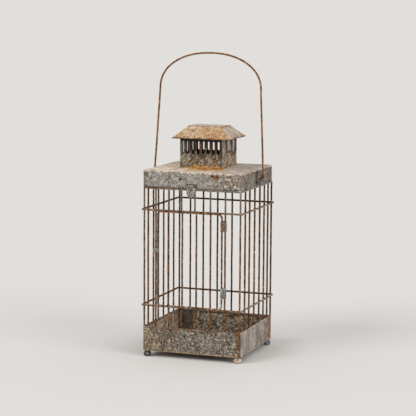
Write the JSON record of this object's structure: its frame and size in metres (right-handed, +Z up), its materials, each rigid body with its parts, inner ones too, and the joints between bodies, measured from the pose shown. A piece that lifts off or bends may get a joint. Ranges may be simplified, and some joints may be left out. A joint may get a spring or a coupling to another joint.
{
  "type": "square wire lantern",
  "caption": "Square wire-cage candle lantern with a sheet tray on feet, a hinged lid with slotted chimney and roof, a swinging bail handle, a wire door and a hasp.",
  "frame": {"origin": "middle of the base, on the surface that the feet stand on, at the centre of the overall box", "axes": "+Z up, -Y to the front with the door and hasp, +X to the right of someone facing the front"},
  "size_m": [0.2332, 0.2106, 0.5993],
  "materials": {
    "galvanised_sheet": "weathered galvanised, matt, with rust specks",
    "warm_sheet": "weathered galvanised with a warm rust bloom, matt",
    "rusty_sheet": "rusted, matt",
    "rusty_wire": "rusted wire, matt",
    "aged_zinc": "aged zinc, half dull"
  },
  "bodies": {
    "cage": {"tray": "galvanised_sheet", "foot_front_left": "rusty_sheet", "foot_front_right": "rusty_sheet", "foot_rear_left": "rusty_sheet", "foot_rear_right": "rusty_sheet", "corner_wire_front_left": "rusty_wire", "corner_wire_front_right": "rusty_wire", "corner_wire_rear_left": "rusty_wire", "corner_wire_rear_right": "rusty_wire", "left_wire_2": "rusty_wire", "left_wire_3": "rusty_wire", "left_wire_4": "rusty_wire", "left_wire_5": "rusty_wire", "left_wire_6": "rusty_wire", "left_wire_7": "rusty_wire", "right_wire_2": "rusty_wire", "right_wire_3": "rusty_wire", "right_wire_4": "rusty_wire", "right_wire_5": "rusty_wire", "right_wire_6": "rusty_wire", "right_wire_7": "rusty_wire", "back_wire_2": "rusty_wire", "back_wire_3": "rusty_wire", "back_wire_4": "rusty_wire", "back_wire_5": "rusty_wire", "back_wire_6": "rusty_wire", "back_wire_7": "rusty_wire", "front_wire_2": "rusty_wire", "front_wire_7": "rusty_wire", "front_upper_wire_3": "rusty_wire", "front_upper_wire_4": "rusty_wire", "front_upper_wire_5": "rusty_wire", "front_upper_wire_6": "rusty_wire", "front_lower_wire_3": "rusty_wire", "front_lower_wire_4": "rusty_wire", "front_lower_wire_5": "rusty_wire", "front_lower_wire_6": "rusty_wire", "lower_ring": "rusty_wire", "upper_ring": "rusty_wire", "rim_wire": "rusty_wire", "door_strap_upper": "aged_zinc", "door_strap_lower": "aged_zinc"},
    "lid": {"lid_band": "galvanised_sheet", "lid_top": "warm_sheet", "chimney": "galvanised_sheet", "roof": "rusty_sheet", "ear_left": "aged_zinc", "ear_right": "aged_zinc", "lid_hinge_left": "aged_zinc", "lid_hinge_right": "aged_zinc", "hasp_plate": "aged_zinc", "hasp_pin": "aged_zinc"},
    "hasp": {"hasp_flap": "aged_zinc"},
    "bail": {"bail": "rusty_wire"},
    "door": {"door_frame": "rusty_wire", "door_bar_1": "rusty_wire", "door_bar_2": "rusty_wire", "door_bar_3": "rusty_wire", "door_bar_4": "rusty_wire", "door_catch": "aged_zinc"}
  },
  "joints": [
    {"name": "lid_hinge", "type": "hinge", "parent": "cage", "child": "lid", "pos_m": [0, 0.1005, 0.3365], "axis": [-1, 0, 0], "range_deg": [0, 100]},
    {"name": "bail_swing", "type": "hinge", "parent": "lid", "child": "bail", "pos_m": [0, 0.0026, 0.354], "axis": [-1, 0, 0], "range_deg": [-100, 85]},
    {"name": "hasp_flap", "type": "hinge", "parent": "lid", "child": "hasp", "pos_m": [0, -0.1002, 0.3443], "axis": [-1, 0, 0], "range_deg": [0, 165]},
    {"name": "door_swing", "type": "hinge", "parent": "cage", "child": "door", "pos_m": [0.06666, -0.1023, 0.1992], "axis": [0, 0, 1], "range_deg": [0, 165]}
  ]
}
